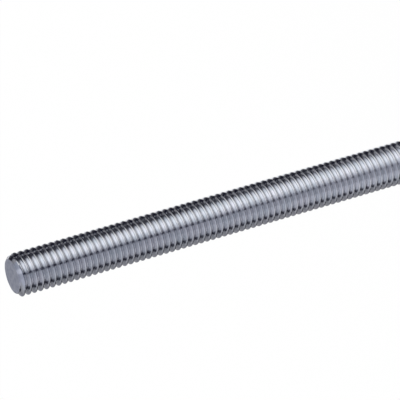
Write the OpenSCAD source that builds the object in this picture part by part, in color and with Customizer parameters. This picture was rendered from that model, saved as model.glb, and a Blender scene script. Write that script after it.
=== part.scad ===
// Threaded rod, made as one piece of zinc-plated steel.
// A metric thread runs over its whole length, and a chamfer cuts the thread off at each end.
// The rod stands on its lower end: its axis is +Z, and the origin is the centre of that end.

/* [Rod] */
// Length of the rod, from end face to end face
rod_length = 120; // [60:5:200]
// Depth of the end chamfers, measured inwards from the crests
chamfer_depth = 1; // [0.5:0.1:1.5]
// Angle of the end chamfers to the rod's axis
chamfer_angle = 45; // [30:5:60]

/* [Thread] */
// Major diameter of the thread, over its crests
major_d = 10; // [8:0.5:16]
// Pitch of the thread, which is its advance in one turn
pitch = 1.5; // [1:0.25:2]
// Angle between the two flanks of the groove
flank_angle = 60; // [55:1:65]
// Way the thread winds
hand = "right"; // [right, left]

/* [Hidden] */
zinc = [0.72, 0.73, 0.78];

// The sharp V of the thread loses these shares of its height at its crest and at its root,
// so the flats there take the same shares of the pitch.
crest_share = 1 / 8;
root_share = 1 / 6;
sharp_height = pitch / 2 / tan(flank_angle / 2);
crest_flat = pitch * crest_share;
root_flat = pitch * root_share;
flank_length = (pitch - crest_flat - root_flat) / 2;
major_r = major_d / 2;
minor_r = major_r - sharp_height * (1 - crest_share - root_share);

// One pitch of the profile as [radius, height], from the foot of the root flat to the top
// of the crest flat. The root foot of the next turn follows the last point.
profile = [
    [minor_r, 0],
    [minor_r, root_flat],
    [major_r, root_flat + flank_length],
    [major_r, root_flat + flank_length + crest_flat]
];
corners = len(profile);

// The helix runs on past both end faces by this much, and is then cut off there. At this share
// of the pitch none of its corners lies on an end face or on a chamfer.
overrun = 1.4 * pitch;
turns = ceil((rod_length + 2 * overrun) / pitch) - 1;

// A turn is swept in a number of straight sides, with two triangles for each corner of the
// profile on each side. It has as many sides, in fours, as the most triangles allow.
most_triangles = 12000;
sides = 4 * floor(most_triangles / (4 * 2 * corners * turns));
steps = turns * sides;

// End face, and the tool that turns it and its chamfer
face_r = major_r - chamfer_depth;
tool_r = major_r + pitch;
tool_fn = 96;

// Where a point of the profile is after a number of steps along the helix
function swept(point, step) =
    let (angle = 360 * step / sides)
    [
        point.x * cos(angle),
        point.x * sin(angle),
        point.y + pitch * step / sides - overrun
    ];

// Index of a corner at a step, where the corner after the last is the first, one turn on
function index(step, corner) =
    corner < corners ? step * corners + corner : (step + sides) * corners;

// Two triangles between two steps and two neighbouring corners
function patch(step, corner) =
    let (
        a = index(step, corner),
        b = index(step + 1, corner),
        c = index(step + 1, corner + 1),
        d = index(step, corner + 1)
    )
    [[a, c, b], [a, d, c]];

// Triangles from a point on the axis to each edge of a closed loop around it
function fan(centre, loop) = [
    for (i = [0 : len(loop) - 1])
    [centre, loop[i], loop[(i + 1) % len(loop)]]
];

// Right-hand thread and its core as one solid, longer than the rod at both ends
module helix() {
    thread_points = [
        for (step = [0 : steps])
        for (point = profile)
        swept(point, step)
    ];
    foot = len(thread_points);
    top = foot + 1;
    axis_points = [
        [0, 0, pitch / 2 - overrun],
        [0, 0, turns * pitch - overrun]
    ];
    thread_faces = [
        for (corner = [0 : corners - 1])
        for (step = [0 : steps - 1 - (corner == corners - 1 ? sides : 0)])
        each patch(step, corner)
    ];
    foot_loop = [
        for (step = [0 : sides]) index(step, 0),
        for (corner = [corners - 1 : -1 : 1]) index(0, corner)
    ];
    top_loop = [
        for (corner = [0 : corners - 2]) index(steps, corner),
        for (step = [steps : -1 : steps - sides]) index(step, corners - 1)
    ];
    polyhedron(
        points = concat(thread_points, axis_points),
        faces = concat(thread_faces, fan(foot, foot_loop), fan(top, top_loop))
    );
}

// What the tool takes off at an end face at z = 0: all below it, and the chamfer above it
module end_cut() {
    chamfer_rise = (tool_r - face_r) / tan(chamfer_angle);
    rotate_extrude($fn = tool_fn)
        polygon([
            [0, -2 * overrun],
            [tool_r, -2 * overrun],
            [tool_r, chamfer_rise],
            [face_r, 0],
            [0, 0]
        ]);
}

module threaded_rod() {
    color(zinc)
        difference() {
            mirror([0, hand == "left" ? 1 : 0, 0])
                helix();
            end_cut();
            translate([0, 0, rod_length])
                mirror([0, 0, 1])
                    end_cut();
        }
}

threaded_rod();
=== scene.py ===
"""Looks of a threaded rod: a zinc-plated steel rod with a metric thread over its whole length.

The rod stands on its lower end, with its axis on +Z and the centre of that end at the origin.
Everything is in metres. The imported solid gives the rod's size and is hidden behind a smooth mesh
of the same thread, with round crests and roots. The camera looks down on the upper end from the
side, turned so that the rod lies across the picture and runs out of it on the right.
"""

import logging
import math
from dataclasses import dataclass
from enum import Enum

import bpy
import numpy as np
from mathutils import Matrix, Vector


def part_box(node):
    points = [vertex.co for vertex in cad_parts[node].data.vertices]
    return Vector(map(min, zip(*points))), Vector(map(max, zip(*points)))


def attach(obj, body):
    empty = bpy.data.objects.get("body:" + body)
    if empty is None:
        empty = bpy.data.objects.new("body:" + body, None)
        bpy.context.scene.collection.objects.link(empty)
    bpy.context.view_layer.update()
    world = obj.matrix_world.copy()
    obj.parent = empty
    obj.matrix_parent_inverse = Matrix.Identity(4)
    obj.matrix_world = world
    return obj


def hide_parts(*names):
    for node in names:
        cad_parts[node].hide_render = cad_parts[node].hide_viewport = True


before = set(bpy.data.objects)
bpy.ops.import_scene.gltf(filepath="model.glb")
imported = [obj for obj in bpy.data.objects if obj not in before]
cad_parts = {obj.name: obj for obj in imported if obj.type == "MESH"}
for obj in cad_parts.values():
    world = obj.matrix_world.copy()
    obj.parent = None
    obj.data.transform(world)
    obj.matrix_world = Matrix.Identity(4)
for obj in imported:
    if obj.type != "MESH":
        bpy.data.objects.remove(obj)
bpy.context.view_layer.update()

MM = 0.001
PICTURE_PX = 400
NODE = "threaded_rod"

Colour = tuple[float, float, float]
ColourWithAlpha = tuple[float, float, float, float]
Span = tuple[float, float]

WHITE: ColourWithAlpha = (1.0, 1.0, 1.0, 1.0)

# The studio around the rod, in metres from its foot: how far the cards stand behind the rod and in
# front of it, to the picture's lower and upper sides, and from how low to how high
BACK, FRONT = -0.5, 0.6
LEFT, RIGHT = -0.75, 0.75
LOW, HIGH = 0.002, 0.7
# Where the cards overhead are divided along the line to the camera, and where the upright ones
# are divided across it
ROW_EDGE = -0.08
LEFT_EDGE, RIGHT_EDGE = -0.15, 0.15
# How far a card stands behind another that it overlaps
LAP = 1 * MM
# Inner and outer radius of the cards on the floor. The bright ones start further out, because the
# lower chamfer would mirror their inner ends as plain white.
INNER, OUTER = 0.004, 1.1
CLEAR = 0.02
# The most degrees between the corners of a card on the floor
ARC_STEP = 10.0

log = logging.getLogger("threaded_rod")


class End(Enum):
    """The two ends of the rod."""

    LOWER = "lower"
    UPPER = "upper"


class Tree:
    """A node tree under construction, with short calls for what this script places in it."""

    def __init__(self, tree: bpy.types.NodeTree) -> None:
        """Takes an empty node tree.

        Args:
            tree: the tree that the nodes go into.
        """
        self.tree = tree

    def node(self, kind: str, **settings: object) -> bpy.types.Node:
        """Adds a node.

        Args:
            kind: the node's type name.
            settings: properties of the node, by name.

        Returns:
            The new node.
        """
        made = self.tree.nodes.new(kind)
        for name, value in settings.items():
            setattr(made, name, value)
        return made

    def link(self, source: bpy.types.NodeSocket, target: bpy.types.NodeSocket) -> None:
        """Joins an output socket to an input socket."""
        self.tree.links.new(source, target)

    def feed(self, target: bpy.types.NodeSocket, value: object) -> None:
        """Gives an input socket a link if the value is a socket, or else a plain value.

        Args:
            target: the input socket.
            value: an output socket, a number or a colour.
        """
        if isinstance(value, bpy.types.NodeSocket):
            self.link(value, target)
        else:
            target.default_value = value

    def math(self, operation: str, *values: object) -> bpy.types.NodeSocket:
        """Adds a Math node.

        Args:
            operation: the node's operation.
            values: its inputs, each a socket or a number.

        Returns:
            The output socket.
        """
        made = self.node("ShaderNodeMath", operation=operation)
        for socket, value in zip(made.inputs, values):
            self.feed(socket, value)
        return made.outputs["Value"]

    def place(self) -> bpy.types.NodeSocket:
        """Adds a Texture Coordinate node, for the object's own coordinates."""
        return self.node("ShaderNodeTexCoord").outputs["Object"]

    def noise(
        self, place: bpy.types.NodeSocket, scale: object, detail: float
    ) -> bpy.types.NodeSocket:
        """Adds a Noise Texture node.

        Args:
            place: the coordinates that it reads.
            scale: cells per metre, as a socket or a number.
            detail: octaves of finer noise.

        Returns:
            The noise's value, around 0.5.
        """
        made = self.node("ShaderNodeTexNoise")
        self.link(place, made.inputs["Vector"])
        self.feed(made.inputs["Scale"], scale)
        made.inputs["Detail"].default_value = detail
        return made.outputs["Fac"]

    def remap(
        self, value: object, low: float, high: float, to_low: float, to_high: float
    ) -> bpy.types.NodeSocket:
        """Adds a clamped Map Range node.

        Args:
            value: the number to map.
            low: the value that becomes to_low.
            high: the value that becomes to_high.
            to_low: the result at low.
            to_high: the result at high.

        Returns:
            The mapped number.
        """
        made = self.node("ShaderNodeMapRange")
        for socket, given in zip(made.inputs, (value, low, high, to_low, to_high)):
            self.feed(socket, given)
        return made.outputs["Result"]

    def mix(self, factor: object, first: object, second: object) -> bpy.types.NodeSocket:
        """Adds a colour Mix node.

        Args:
            factor: the share of the second colour.
            first: the colour at factor 0.
            second: the colour at factor 1.

        Returns:
            The mixed colour.
        """
        # The node has sockets for each kind of data, and these are the ones for colours
        made = self.node("ShaderNodeMix", data_type="RGBA")
        sockets = made.inputs[0], made.inputs[6], made.inputs[7]
        for socket, value in zip(sockets, (factor, first, second)):
            self.feed(socket, value)
        return made.outputs[2]


def blank_tree(data: bpy.types.ID) -> Tree:
    """Empties the node tree of a new material or world.

    Args:
        data: the material or the world.

    Returns:
        Its tree, with no nodes.
    """
    data.use_nodes = True
    data.node_tree.nodes.clear()
    return Tree(data.node_tree)


class PlatingGroup:
    """The node group that both of the rod's finishes share: clouds and grain of zinc plating.

    Attributes:
        NAME: the group's name.
        DETAIL: octaves of finer noise in the clouds and in the grain.
        MIDDLE: the middle of the noise's range, which is stretched to run from 0 to 1.
        FINE_SCALE: cells per metre of a finer noise that only the relief has.
        FINE_DETAIL: octaves of finer noise in that.
        FINE_SHARE: how much of the relief it makes up. The rest is grain.
    """

    NAME = "zinc_plating"
    DETAIL = 2.0
    MIDDLE = (0.35, 0.65)
    FINE_SCALE = 9000.0
    FINE_DETAIL = 1.0
    FINE_SHARE = 0.35

    @classmethod
    def tree(cls) -> bpy.types.NodeTree:
        """Builds the group once.

        Cloud is slow noise over a few millimetres, stretched to the middle of its range. Grain is
        fast noise of a fraction of a millimetre. Height adds a still finer noise to the grain.

        Returns:
            The group, with the outputs Cloud, Grain and Height, each from 0 to 1.
        """
        known = bpy.data.node_groups.get(cls.NAME)
        if known:
            return known
        group = bpy.data.node_groups.new(cls.NAME, "ShaderNodeTree")
        for name in ("Cloud Scale", "Grain Scale"):
            group.interface.new_socket(name, in_out="INPUT", socket_type="NodeSocketFloat")
        for name in ("Cloud", "Grain", "Height"):
            group.interface.new_socket(name, in_out="OUTPUT", socket_type="NodeSocketFloat")
        tree = Tree(group)
        given = tree.node("NodeGroupInput")
        result = tree.node("NodeGroupOutput")
        place = tree.place()
        cloud = tree.noise(place, given.outputs["Cloud Scale"], cls.DETAIL)
        grain = tree.noise(place, given.outputs["Grain Scale"], cls.DETAIL)
        fine = tree.noise(place, cls.FINE_SCALE, cls.FINE_DETAIL)
        tree.link(tree.remap(cloud, *cls.MIDDLE, 0.0, 1.0), result.inputs["Cloud"])
        tree.link(tree.remap(grain, *cls.MIDDLE, 0.0, 1.0), result.inputs["Grain"])
        grain_part = tree.math("MULTIPLY", grain, 1 - cls.FINE_SHARE)
        height = tree.math("MULTIPLY_ADD", fine, cls.FINE_SHARE, grain_part)
        tree.link(height, result.inputs["Height"])
        return group


@dataclass(frozen=True)
class ZincFinish:
    """Zinc plating on a rolled thread, with painted shade that darkens its colour down in the
    roots.

    Attributes:
        name: the material's name.
        crest_colour: reflectance on the crests and the upper flanks.
        root_shade_colour: reflectance down in the groove, a darker copy of the crest's colour as
            painted shade.
        tint_colour: reflectance in the cooler clouds of the plating.
        tint_share: how much of the tint the clouds take.
        smooth: roughness where the plating is smoothest.
        rough: roughness where it is roughest.
        bump: strength of the grain's relief.
        bump_height: height of the grain's relief, in metres.
        root_radius: up to this distance from the axis, in metres, the root's painted shade holds.
        crest_radius: from this distance on, the crest's colour holds.
        cloud_scale: clouds per metre.
        grain_scale: grains per metre.
        grain_share: how much of the change in roughness is grain. The rest is clouds.
    """

    name: str
    crest_colour: ColourWithAlpha
    root_shade_colour: ColourWithAlpha
    tint_colour: ColourWithAlpha
    tint_share: float
    smooth: float
    rough: float
    bump: float
    bump_height: float
    root_radius: float
    crest_radius: float
    cloud_scale: float
    grain_scale: float = 2600.0
    grain_share: float = 0.5

    def material(self) -> bpy.types.Material:
        """Builds the material.

        The colour goes from the root's painted shade to the crest's with the distance from the
        rod's axis, and is tinted by the clouds. The roughness follows the grain and the clouds.

        Returns:
            The material.
        """
        made = bpy.data.materials.new(self.name)
        tree = blank_tree(made)
        output = tree.node("ShaderNodeOutputMaterial")
        shader = tree.node("ShaderNodeBsdfPrincipled")
        shader.inputs["Metallic"].default_value = 1.0
        tree.link(shader.outputs["BSDF"], output.inputs["Surface"])
        plating = tree.node("ShaderNodeGroup", node_tree=PlatingGroup.tree())
        plating.inputs["Cloud Scale"].default_value = self.cloud_scale
        plating.inputs["Grain Scale"].default_value = self.grain_scale
        flat = tree.node("ShaderNodeVectorMath", operation="MULTIPLY")
        tree.link(tree.place(), flat.inputs[0])
        flat.inputs[1].default_value = (1.0, 1.0, 0.0)
        radius = tree.node("ShaderNodeVectorMath", operation="LENGTH")
        tree.link(flat.outputs["Vector"], radius.inputs[0])
        # Painted shade: the colour darkens from the crest's to the root's towards the bottom of the
        # groove
        rise = tree.remap(radius.outputs["Value"], self.root_radius, self.crest_radius, 0.0, 1.0)
        plain = tree.mix(rise, self.root_shade_colour, self.crest_colour)
        tint = tree.math("MULTIPLY", plating.outputs["Cloud"], self.tint_share)
        tinted = tree.mix(tint, plain, self.tint_colour)
        tree.link(tinted, shader.inputs["Base Color"])
        cloud_share = 1 - self.grain_share
        grain_part = tree.math("MULTIPLY", plating.outputs["Grain"], self.grain_share)
        change = tree.math("MULTIPLY_ADD", plating.outputs["Cloud"], cloud_share, grain_part)
        roughness = tree.remap(change, 0.0, 1.0, self.smooth, self.rough)
        tree.link(roughness, shader.inputs["Roughness"])
        bump = tree.node("ShaderNodeBump")
        bump.inputs["Strength"].default_value = self.bump
        bump.inputs["Distance"].default_value = self.bump_height
        tree.link(plating.outputs["Height"], bump.inputs["Height"])
        tree.link(bump.outputs["Normal"], shader.inputs["Normal"])
        return made


@dataclass
class ThreadedRod:
    """The rod, with its thread and its two chamfered ends.

    Attributes:
        length: from end face to end face, in metres.
        major_radius: radius over the crests.
        pitch: advance of the thread in one turn.
        flank_angle: angle between the two flanks of the groove, in degrees.
        crest_share: share of the sharp thread's height that is lost at the crest.
        root_share: share of the sharp thread's height that is lost at the root.
        crest_fillet: radius of the crest's two corners.
        root_fillet: radius of the root's two corners.
        chamfer_depth: depth of the end chamfers, inwards from the crests.
        run_on: pitches from the lower end face down to the first root at angle 0.
        sides: straight sides in a turn.
        corner_steps: straight steps round each corner of the profile.
        flank_steps: points along each flank, between its corners.
        face_rings: rings of triangles on an end face.
        sharp_angle: edges that turn by more than this, in radians, are shaded sharp.
        held: points of the thread that are past an end face, or nearer to it than this, are held
            at its rim.
    """

    length: float
    major_radius: float
    pitch: float = 1.5 * MM
    flank_angle: float = 60.0
    crest_share: float = 1 / 8
    root_share: float = 1 / 6
    crest_fillet: float = 0.07 * MM
    root_fillet: float = 0.14 * MM
    chamfer_depth: float = 1.0 * MM
    run_on: float = 1.4
    sides: int = 72
    corner_steps: int = 2
    flank_steps: int = 2
    face_rings: int = 10
    sharp_angle: float = math.radians(35.0)
    held: float = 0.005 * MM

    @property
    def minor_radius(self) -> float:
        """Radius at the roots."""
        sharp_height = self.pitch / 2 / math.tan(math.radians(self.flank_angle / 2))
        return self.major_radius - sharp_height * (1 - self.crest_share - self.root_share)

    @property
    def face_radius(self) -> float:
        """Radius of the flat end faces."""
        return self.major_radius - self.chamfer_depth

    def corner(
        self, tip: tuple[float, float], turn_in: float, turn_out: float, fillet: float
    ) -> np.ndarray:
        """Points of one rounded corner of the profile.

        The fillet touches both sides at fillet * tan(half the turn) from the corner's tip. Its
        centre is one radius square to the first side from there. Its points are centre + fillet *
        (cos, sin) of angles that go from the first side's direction to the second's, each less a
        quarter turn to the side that the centre is on.

        Args:
            tip: the sharp corner, as height along the axis and radius.
            turn_in: direction of travel before the corner, in radians from the axis.
            turn_out: direction of travel after the corner.
            fillet: the rounding's radius.

        Returns:
            An array of corner_steps + 1 points, each a height and a radius.
        """
        turn = turn_out - turn_in
        reach = fillet * math.tan(abs(turn) / 2)
        start = np.array(tip) - reach * np.array([math.cos(turn_in), math.sin(turn_in)])
        side = math.copysign(1.0, turn)
        normal_angle = turn_in + side * math.pi / 2
        centre = start + fillet * np.array([math.cos(normal_angle), math.sin(normal_angle)])
        angles = np.linspace(turn_in, turn_out, self.corner_steps + 1) - side * math.pi / 2
        return centre + fillet * np.stack([np.cos(angles), np.sin(angles)], axis=1)

    def profile(self) -> np.ndarray:
        """One pitch of the thread's profile.

        A root flat, a rising flank, a crest flat and a falling flank, with a fillet at each of
        the four corners and a few points along each flank.

        Returns:
            An array of points, each a height along the axis from the root's foot and a radius.
        """
        root_flat = self.pitch * self.root_share
        crest_flat = self.pitch * self.crest_share
        flank = (self.pitch - root_flat - crest_flat) / 2
        steep = math.radians(90 - self.flank_angle / 2)
        low, high = self.minor_radius, self.major_radius
        corners = [
            self.corner((root_flat, low), 0.0, steep, self.root_fillet),
            self.corner((root_flat + flank, high), steep, 0.0, self.crest_fillet),
            self.corner((root_flat + flank + crest_flat, high), 0.0, -steep, self.crest_fillet),
            self.corner((self.pitch, low), -steep, 0.0, self.root_fillet),
        ]
        shares = np.linspace(0, 1, self.flank_steps + 2)[1:-1, None]
        rising = corners[0][-1] + shares * (corners[1][0] - corners[0][-1])
        falling = corners[2][-1] + shares * (corners[3][0] - corners[2][-1])
        return np.concatenate([corners[0], rising, corners[1], corners[2], falling, corners[3]])

    def thread_grid(self) -> tuple[np.ndarray, np.ndarray]:
        """Points of the thread, as a grid of stations around and levels up the rod.

        Each station around the axis repeats the profile up the rod, raised by its share of a
        pitch. Past an end face a point is held at the face's rim, and near one its radius is
        at most that of the chamfer's cone: the face's radius plus the distance to the face.

        Returns:
            The points, by station and level, and each one's number. Points held at one place
            of a rim share a number.
        """
        profile = self.profile()
        turns = math.ceil(self.length / self.pitch + self.run_on) + 1
        heights = (profile[None, :, 0] + self.pitch * np.arange(turns)[:, None]).ravel()
        radii = np.tile(profile[:, 1], turns)
        angles = self.station_angles()[:, None]
        z = heights + self.pitch * (angles / (2 * math.pi) - self.run_on)
        below, above = z < self.held, z > self.length - self.held
        z = np.where(below, 0.0, np.where(above, self.length, z))
        r = np.minimum(radii, self.face_radius + np.minimum(z, self.length - z))
        points = np.stack([r * np.cos(angles), r * np.sin(angles), z], axis=-1)
        numbers = np.arange(z.size).reshape(z.shape)
        lowest = numbers[:, :1]
        highest = numbers[:, -1:]
        return points, np.where(below, lowest, np.where(above, highest, numbers))

    def station_angles(self) -> np.ndarray:
        """Angles of the stations around the axis, in radians."""
        return 2 * math.pi * np.arange(self.sides) / self.sides

    def thread_faces(self, numbers: np.ndarray) -> np.ndarray:
        """Triangles between neighbouring stations and levels.

        The station after the last is the first again, one pitch up.

        Args:
            numbers: each grid point's number.

        Returns:
            The triangles, with their corners anticlockwise from outside.
        """
        per_pitch = len(self.profile())
        after_last = np.concatenate([numbers[0, per_pitch:], np.repeat(numbers[0, -1], per_pitch)])
        following = np.concatenate([numbers[1:], after_last[None, :]])
        a, b, c, d = numbers[:, :-1], following[:, :-1], following[:, 1:], numbers[:, 1:]
        return split(a, b, c, d)

    def face(self, end: End, rim: np.ndarray, first_number: int) -> tuple[np.ndarray, np.ndarray]:
        """A flat end face, as rings of points between its rim and its centre.

        Ring k of n has the radius face_radius * (n - k) / n, and a point at each station's angle.

        Args:
            end: the end of the rod that it closes.
            rim: the numbers of the points on its rim, by station.
            first_number: the number of its first new point.

        Returns:
            Its new points, and its triangles with their corners anticlockwise from outside.
        """
        z = self.length if end is End.UPPER else 0.0
        angles = self.station_angles()
        radii = self.face_radius * np.arange(self.face_rings - 1, 0, -1)[:, None] / self.face_rings
        x, y = radii * np.cos(angles), radii * np.sin(angles)
        ring_points = np.stack([x, y, np.full_like(x, z)], axis=-1)
        points = np.concatenate([ring_points.reshape(-1, 3), [[0.0, 0.0, z]]])
        new_numbers = first_number + np.arange(x.size).reshape(x.shape)
        rings = np.concatenate([rim[None, :], new_numbers])
        onward = np.roll(rings, -1, axis=1)
        patches = split(rings[:-1], onward[:-1], onward[1:], rings[1:])
        centre = np.full(self.sides, first_number + len(points) - 1)
        fan = np.stack([rings[-1], onward[-1], centre], axis=-1)
        triangles = np.concatenate([patches, fan])
        return points, triangles if end is End.UPPER else triangles[:, ::-1]

    def surface(self) -> tuple[np.ndarray, np.ndarray, np.ndarray]:
        """The whole closed surface: the thread, the chamfers and the two end faces.

        Triangles with two corners at one place are left out, and so are points that no triangle
        uses.

        Returns:
            The points, the triangles, and for each triangle whether it is on an end face.
        """
        grid, numbers = self.thread_grid()
        points, triangles = [grid.reshape(-1, 3)], [self.thread_faces(numbers)]
        total = numbers.size
        for end, rim in ((End.LOWER, numbers[:, 0]), (End.UPPER, numbers[:, -1])):
            new_points, new_triangles = self.face(end, rim, total)
            points.append(new_points)
            triangles.append(new_triangles)
            total += len(new_points)
        faces = np.concatenate(triangles)
        on_end = np.arange(len(faces)) >= len(triangles[0])
        real = (faces != np.roll(faces, 1, axis=1)).all(axis=1)
        used, kept = np.unique(faces[real], return_inverse=True)
        return np.concatenate(points)[used], kept.reshape(-1, 3), on_end[real]

    def build(
        self, thread_finish: bpy.types.Material, face_finish: bpy.types.Material
    ) -> bpy.types.Object:
        """Builds the rod's mesh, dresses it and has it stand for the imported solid.

        Args:
            thread_finish: the material of the thread and the chamfers.
            face_finish: the material of the end faces.

        Returns:
            The rod's object.
        """
        points, triangles, on_end = self.surface()
        mesh = new_mesh(NODE, points, triangles)
        mesh.materials.append(thread_finish)
        mesh.materials.append(face_finish)
        mesh.polygons.foreach_set("material_index", on_end.astype(np.int32))
        mesh.polygons.foreach_set("use_smooth", np.ones(len(triangles), dtype=bool))
        mesh.set_sharp_from_angle(angle=self.sharp_angle)
        mesh.update()
        rod = link_object("rod", mesh)
        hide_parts(NODE)
        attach(rod, "root")
        return rod


def split(a: np.ndarray, b: np.ndarray, c: np.ndarray, d: np.ndarray) -> np.ndarray:
    """Splits four-sided patches in two: each becomes the triangles abc and acd.

    Args:
        a: the number of each patch's first corner.
        b: the number of its second corner.
        c: the number of its third corner.
        d: the number of its fourth corner.

    Returns:
        The triangles, as three vertex numbers each.
    """
    halves = [np.stack(corners, axis=-1).reshape(-1, 3) for corners in ((a, b, c), (a, c, d))]
    return np.concatenate(halves)


def new_mesh(name: str, points: np.ndarray, triangles: np.ndarray) -> bpy.types.Mesh:
    """Makes a mesh from arrays.

    Args:
        name: the mesh's name.
        points: its vertices, in metres.
        triangles: its faces, as three vertex numbers each.

    Returns:
        The mesh.
    """
    mesh = bpy.data.meshes.new(name)
    mesh.vertices.add(len(points))
    mesh.vertices.foreach_set("co", points.astype(np.float32).ravel())
    mesh.loops.add(triangles.size)
    mesh.loops.foreach_set("vertex_index", triangles.astype(np.int32).ravel())
    mesh.polygons.add(len(triangles))
    mesh.polygons.foreach_set("loop_start", np.arange(0, triangles.size, 3, dtype=np.int32))
    mesh.update(calc_edges=True)
    mesh.validate()
    return mesh


def link_object(name: str, data: bpy.types.ID) -> bpy.types.Object:
    """Makes an object of some data and links it to the scene.

    Args:
        name: the object's name.
        data: its mesh or camera.

    Returns:
        The object.
    """
    made = bpy.data.objects.new(name, data)
    bpy.context.scene.collection.objects.link(made)
    return made


@dataclass(frozen=True)
class PictureCamera:
    """The camera, placed by where the rod lies in the picture.

    Attributes:
        focal_px: focal length, in picture pixels.
        tip_px: picture place of the upper end face's centre, right and down from the corner.
        tip_depth: distance of that centre along the line of sight, in metres.
        recede: angle at which the rod leads away from the picture plane, in radians.
        rise: angle at which the rod rises to the right in the picture, in radians.
        azimuth: direction of the camera around the rod's axis, in radians.
        sensor: width of the sensor, in millimetres.
        clip_start: distance at which the camera starts to see, in metres.
    """

    focal_px: float = 2983.0
    tip_px: tuple[float, float] = (12.1, 276.35)
    tip_depth: float = 665.7 * MM
    recede: float = 0.3883
    rise: float = 0.282961
    azimuth: float = math.radians(114.0)
    sensor: float = 36.0
    clip_start: float = 10 * MM

    def axes(self) -> np.ndarray:
        """The camera's directions in the world.

        In the camera's own directions (right, down, forward), the rod runs from its upper end
        along (cos recede cos rise, -cos recede sin rise, sin recede). Opposite to that is +Z.
        The horizontal direction from the rod to the camera is at the azimuth.

        Returns:
            A matrix that turns the camera's directions into the world's.
        """
        up = -np.array(
            [
                math.cos(self.recede) * math.cos(self.rise),
                -math.cos(self.recede) * math.sin(self.rise),
                math.sin(self.recede),
            ]
        )
        forward = np.array([0.0, 0.0, 1.0])
        towards = -(forward - forward.dot(up) * up)
        towards /= np.linalg.norm(towards)
        beside = np.cross(up, towards)
        turn, side = math.cos(self.azimuth), math.sin(self.azimuth)
        return np.stack([turn * towards - side * beside, side * towards + turn * beside, up])

    def build(self, tip: np.ndarray) -> bpy.types.Object:
        """Makes the camera and the scene's view through it.

        Args:
            tip: the centre of the upper end face, in the world.

        Returns:
            The camera's object.
        """
        world = self.axes()
        half = PICTURE_PX / 2
        across = (self.tip_px[0] - half) / self.focal_px * self.tip_depth
        down = (self.tip_px[1] - half) / self.focal_px * self.tip_depth
        place = tip - world @ np.array([across, down, self.tip_depth])
        lens = bpy.data.cameras.new("camera")
        lens.sensor_width = self.sensor
        lens.lens = self.focal_px / PICTURE_PX * self.sensor
        lens.clip_start = self.clip_start
        camera = link_object("camera", lens)
        # Blender's camera has its own Y up and its own Z backwards
        turned = world @ np.diag([1.0, -1.0, -1.0])
        matrix = Matrix(turned.tolist()).to_4x4()
        matrix.translation = place.tolist()
        camera.matrix_world = matrix
        bpy.context.scene.camera = camera
        return camera


@dataclass(frozen=True)
class Card:
    """A plain sheet in the studio that the metal mirrors: a soft light, a wall or a dark flag.

    Places are in the studio's own directions, in metres from the foot of the rod: towards the
    camera, across towards the picture's upper side, and up.

    Attributes:
        name: the card's name.
        edges: the corners along two opposite edges, as a 2 x n x 3 array.
        colour: what it gives off, where 1 is white.
    """

    name: str
    edges: np.ndarray
    colour: Colour

    @classmethod
    def overhead(cls, name: str, towards: Span, across: Span, colour: Colour) -> "Card":
        """A card that hangs level over the rod.

        Args:
            name: the card's name.
            towards: how far it goes along the line to the camera.
            across: how far it goes across that line.
            colour: what it gives off.

        Returns:
            The card.
        """
        return cls(name, np.array([[[b, s, HIGH] for b in towards] for s in across]), colour)

    @classmethod
    def upright(cls, name: str, towards: float, across: Span, up: Span, colour: Colour) -> "Card":
        """A card that stands across the line to the camera.

        Args:
            name: the card's name.
            towards: where it stands on that line.
            across: how far it goes across it.
            up: how far it goes up.
            colour: what it gives off.

        Returns:
            The card.
        """
        return cls(name, np.array([[[towards, s, z] for s in across] for z in up]), colour)

    @classmethod
    def beside(
        cls, name: str, across: float, towards: Span, colour: Colour, up: Span = (LOW, HIGH)
    ) -> "Card":
        """A card that stands along the line to the camera.

        Args:
            name: the card's name.
            across: how far from that line it stands.
            towards: how far it goes along it.
            colour: what it gives off.
            up: how far it goes up.

        Returns:
            The card.
        """
        return cls(name, np.array([[[b, across, z] for b in towards] for z in up]), colour)

    @classmethod
    def sector(cls, name: str, turn: Span, colour: Colour, reach: Span = (INNER, OUTER)) -> "Card":
        """A card that lies on the floor between two directions from the foot of the rod.

        Its corners are at reach * (cos turn, sin turn), on an inner and an outer arc.

        Args:
            name: the card's name.
            turn: the two directions, in degrees from the line to the camera.
            colour: what it gives off.
            reach: the radii of the two arcs.

        Returns:
            The card.
        """
        angles = np.radians(np.linspace(*turn, 2 + int(abs(turn[1] - turn[0]) / ARC_STEP)))
        arc = np.stack([np.cos(angles), np.sin(angles), np.zeros_like(angles)], axis=1)
        return cls(name, np.stack([radius * arc for radius in reach]) + [0.0, 0.0, LOW], colour)

    def glow(self) -> bpy.types.Material:
        """Makes a material that only gives off light, in the card's colour.

        Returns:
            The material.
        """
        made = bpy.data.materials.new(self.name)
        tree = blank_tree(made)
        shader = tree.node("ShaderNodeEmission")
        shader.inputs["Color"].default_value = (*self.colour, 1.0)
        shader.inputs["Strength"].default_value = 1.0
        output = tree.node("ShaderNodeOutputMaterial")
        tree.link(shader.outputs["Emission"], output.inputs["Surface"])
        return made

    def build(self, studio_axes: np.ndarray) -> bpy.types.Object:
        """Hangs the card where only polished surfaces see it.

        Args:
            studio_axes: the studio's three directions in the world, as rows.

        Returns:
            The card's object.
        """
        count = self.edges.shape[1]
        first = np.arange(count - 1)
        triangles = split(first, first + 1, first + count + 1, first + count)
        points = self.edges.reshape(-1, 3) @ studio_axes
        card = link_object(self.name, new_mesh(self.name, points, triangles))
        card.data.materials.append(self.glow())
        card.visible_camera = False
        card.visible_diffuse = False
        card.visible_shadow = False
        return card


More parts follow.
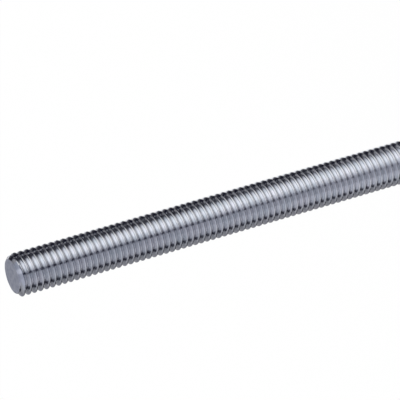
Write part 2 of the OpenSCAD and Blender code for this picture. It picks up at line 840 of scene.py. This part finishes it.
@dataclass
class Studio:
    """A plain pale floor, a white surround and the cards around the rod.

    Attributes:
        cards: the cards.
        floor_size: side of the square floor, in metres.
        floor_colour: reflectance of the floor.
        floor_white: share of plain white in the floor as the picture and the metal see it. The
            rest is lit, so it keeps the rod's shadow.
        surround_light: strength of the light that the white surround gives the floor.
    """

    cards: list[Card]
    floor_size: float = 6.0
    floor_colour: ColourWithAlpha = (0.9, 0.9, 0.9, 1.0)
    floor_white: float = 0.85
    surround_light: float = 1.1

    @staticmethod
    def seen(tree: Tree) -> bpy.types.NodeSocket:
        """Tells the rays that see a surface from those that are only lit by it.

        Args:
            tree: the tree that the nodes go into.

        Returns:
            1 for rays from the camera, from gloss and through glass, and 0 for other rays.
        """
        path = tree.node("ShaderNodeLightPath")
        gloss = tree.math("ADD", path.outputs["Is Glossy Ray"], path.outputs["Is Transmission Ray"])
        return tree.math("MINIMUM", tree.math("ADD", path.outputs["Is Camera Ray"], gloss), 1.0)

    def build_floor(self) -> bpy.types.Object:
        """Lays the floor under the rod.

        Returns:
            The floor's object.
        """
        half = self.floor_size / 2
        points = half * np.array([[-1, -1, 0], [1, -1, 0], [1, 1, 0], [-1, 1, 0]])
        floor = link_object("floor", new_mesh("floor", points, np.array([[0, 1, 2], [0, 2, 3]])))
        made = bpy.data.materials.new("floor")
        tree = blank_tree(made)
        lit = tree.node("ShaderNodeBsdfDiffuse")
        lit.inputs["Color"].default_value = self.floor_colour
        white = tree.node("ShaderNodeEmission")
        blend = tree.node("ShaderNodeMixShader")
        tree.link(tree.math("MULTIPLY", self.seen(tree), self.floor_white), blend.inputs[0])
        tree.link(lit.outputs["BSDF"], blend.inputs[1])
        tree.link(white.outputs["Emission"], blend.inputs[2])
        output = tree.node("ShaderNodeOutputMaterial")
        tree.link(blend.outputs["Shader"], output.inputs["Surface"])
        floor.data.materials.append(made)
        return floor

    def build_surround(self) -> bpy.types.World:
        """Makes the world around the studio: white where it is seen, and a soft light elsewhere.

        Returns:
            The world.
        """
        world = bpy.data.worlds.new("surround")
        tree = blank_tree(world)
        shader = tree.node("ShaderNodeBackground")
        shader.inputs["Color"].default_value = WHITE
        strength = tree.remap(self.seen(tree), 0.0, 1.0, self.surround_light, 1.0)
        tree.link(strength, shader.inputs["Strength"])
        output = tree.node("ShaderNodeOutputWorld")
        tree.link(shader.outputs["Background"], output.inputs["Surface"])
        bpy.context.scene.world = world
        return world

    def build(self, camera_azimuth: float) -> None:
        """Builds the whole studio.

        Args:
            camera_azimuth: direction of the camera around the rod, in radians.
        """
        self.build_floor()
        self.build_surround()
        turn, side = math.cos(camera_azimuth), math.sin(camera_azimuth)
        studio_axes = np.array([[turn, side, 0.0], [-side, turn, 0.0], [0.0, 0.0, 1.0]])
        for card in self.cards:
            card.build(studio_axes)
            log.info("card %s", card.name)
        bpy.context.scene.view_settings.view_transform = "Standard"


THREAD_FINISH = ZincFinish(
    name="zinc_thread",
    crest_colour=(0.74, 0.75, 0.80, 1.0),
    root_shade_colour=(0.58, 0.59, 0.64, 1.0),
    # Painted shade in the groove: a darker copy of the crest's colour
    tint_colour=(0.61, 0.66, 0.71, 1.0),
    tint_share=0.45,
    smooth=0.12,
    rough=0.20,
    bump=0.3,
    bump_height=0.015 * MM,
    root_radius=4.1 * MM,
    crest_radius=4.6 * MM,
    cloud_scale=350.0,
)
FACE_FINISH = ZincFinish(
    name="zinc_face",
    # The same as the crest's colour, so the end face has no painted shade
    crest_colour=(0.76, 0.77, 0.82, 1.0),
    root_shade_colour=(0.76, 0.77, 0.82, 1.0),
    tint_colour=(0.52, 0.54, 0.62, 1.0),
    tint_share=0.8,
    smooth=0.30,
    rough=0.42,
    bump=0.4,
    bump_height=0.02 * MM,
    root_radius=0.0,
    crest_radius=4.0 * MM,
    cloud_scale=800.0,
)
# Each card's place and colour. The sectors' directions are in degrees from the line to the camera.
CARDS = [
    Card.sector("dark_near", (100, 115), (0.38, 0.38, 0.39), (INNER, 0.3)),
    Card.sector("dark_far", (100, 115), (0.0, 0.0, 0.01), (0.3, OUTER)),
    Card.sector("dark_side", (115, 135), (0.05, 0.05, 0.06)),
    Card.sector("floor_behind", (135, 220), (0.60, 0.60, 0.61)),
    Card.sector("floor_corner", (220, 249), (0.0, 0.0, 0.01)),
    Card.sector("corner_edge", (249, 263), (0.09, 0.09, 0.11)),
    Card.sector("grey_near", (-97, -45), (0.76, 0.76, 0.79), (INNER, 0.12)),
    Card.sector("grey_far", (-97, -45), (0.55, 0.55, 0.58), (0.12, OUTER)),
    Card.sector("floor_left", (-45, -14), (0.47, 0.47, 0.50)),
    Card.sector("line_near", (-14, -2), (0.44, 0.44, 0.48), (INNER, 0.10)),
    Card.sector("line_mid", (-14, -2), (0.28, 0.28, 0.31), (0.10, 0.17)),
    Card.sector("line_far", (-14, -2), (0.01, 0.01, 0.03), (0.17, OUTER)),
    Card.sector("fall_near", (-2, 4), (0.58, 0.58, 0.61), (INNER, 0.17)),
    Card.sector("fall_far", (-2, 4), (0.22, 0.22, 0.26), (0.17, OUTER)),
    Card.sector("floor_edge", (4, 13), (0.85, 0.85, 0.88)),
    Card.sector("floor_near", (13, 27), (1.15, 1.15, 1.15), (CLEAR, OUTER)),
    Card.sector("floor_light", (27, 60), (1.68, 1.66, 1.62), (CLEAR, OUTER)),
    Card.sector("floor_far", (60, 77), (1.25, 1.25, 1.22), (CLEAR, OUTER)),
    Card.sector("end_near", (77, 88), (0.80, 0.80, 0.82), (INNER, 0.4)),
    Card.sector("end_far", (77, 88), (0.15, 0.15, 0.16), (0.4, OUTER)),
    Card.sector("flag_near", (88, 100), (0.50, 0.50, 0.52), (INNER, 0.22)),
    Card.sector("flag_far", (88, 100), (0.02, 0.02, 0.03), (0.22, OUTER)),
    Card.overhead("over_left", (ROW_EDGE, FRONT), (LEFT, -0.2), (0.44, 0.46, 0.54)),
    Card.overhead("over_mid", (ROW_EDGE, FRONT), (-0.2, 0.0), (0.38, 0.40, 0.47)),
    Card.overhead("over_near", (ROW_EDGE, FRONT), (0.0, 0.2), (0.62, 0.64, 0.72)),
    Card.overhead("over_right", (ROW_EDGE, FRONT), (0.2, RIGHT), (0.36, 0.38, 0.45)),
    Card.overhead("over_back_left", (BACK, ROW_EDGE), (LEFT, -0.2), (0.42, 0.43, 0.47)),
    Card.overhead("over_back_mid", (BACK, ROW_EDGE), (-0.2, 0.2), (1.24, 1.26, 1.33)),
    Card.overhead("over_back_dark", (BACK, ROW_EDGE), (0.2, 0.45), (0.0, 0.0, 0.01)),
    Card.overhead("over_back_right", (BACK, ROW_EDGE), (0.45, RIGHT), (0.32, 0.32, 0.34)),
    Card.upright("back_left_high", BACK, (LEFT, LEFT_EDGE), (0.40, HIGH), (0.36, 0.36, 0.38)),
    Card.upright("back_left", BACK, (LEFT, LEFT_EDGE), (0.2, 0.40), (0.25, 0.25, 0.27)),
    Card.upright("back_mid", BACK, (LEFT_EDGE, RIGHT_EDGE), (0.1, HIGH), (0.29, 0.30, 0.34)),
    Card.upright("back_low", BACK - LAP, (LEFT, RIGHT_EDGE), (LOW, 0.2), (0.30, 0.30, 0.31)),
    Card.upright("back_low_right", BACK, (RIGHT_EDGE, RIGHT), (LOW, 0.2), (0.95, 0.95, 0.97)),
    Card.upright("back_mid_right", BACK, (RIGHT_EDGE, RIGHT), (0.2, 0.35), (0.07, 0.07, 0.08)),
    Card.upright("back_flag", BACK, (RIGHT_EDGE, RIGHT), (0.35, HIGH), (0.01, 0.01, 0.02)),
    Card.upright("front_left", FRONT, (LEFT, LEFT_EDGE), (LOW, HIGH), (0.37, 0.39, 0.46)),
    Card.upright("front_right", FRONT, (LEFT_EDGE, RIGHT), (LOW, HIGH), (0.0, 0.0, 0.02)),
    Card.beside("side_left", LEFT, (0.12, FRONT), (0.57, 0.57, 0.62)),
    Card.beside("side_left_back", LEFT, (BACK, 0.12), (0.02, 0.02, 0.03)),
    Card.beside("side_right_low", RIGHT, (-0.1, FRONT), (0.25, 0.25, 0.27), (LOW, 0.15)),
    Card.beside("side_right", RIGHT, (-0.1, FRONT), (0.0, 0.0, 0.01), (0.15, HIGH)),
    Card.beside("side_right_back", RIGHT, (BACK, -0.1), (0.02, 0.02, 0.03)),
]


def main() -> None:
    """Builds the rod, the camera and the studio."""
    logging.basicConfig(level=logging.INFO)
    low, high = (np.array(corner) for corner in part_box(NODE))
    tip = np.array([0.0, 0.0, high[2]])
    rod = ThreadedRod(length=float(high[2] - low[2]), major_radius=float(high[0] - low[0]) / 2)
    piece = rod.build(THREAD_FINISH.material(), FACE_FINISH.material())
    log.info("%s: %d triangles", piece.name, len(piece.data.polygons))
    view = PictureCamera()
    view.build(tip)
    Studio(CARDS).build(view.azimuth)


if __name__ == "__main__":
    main()
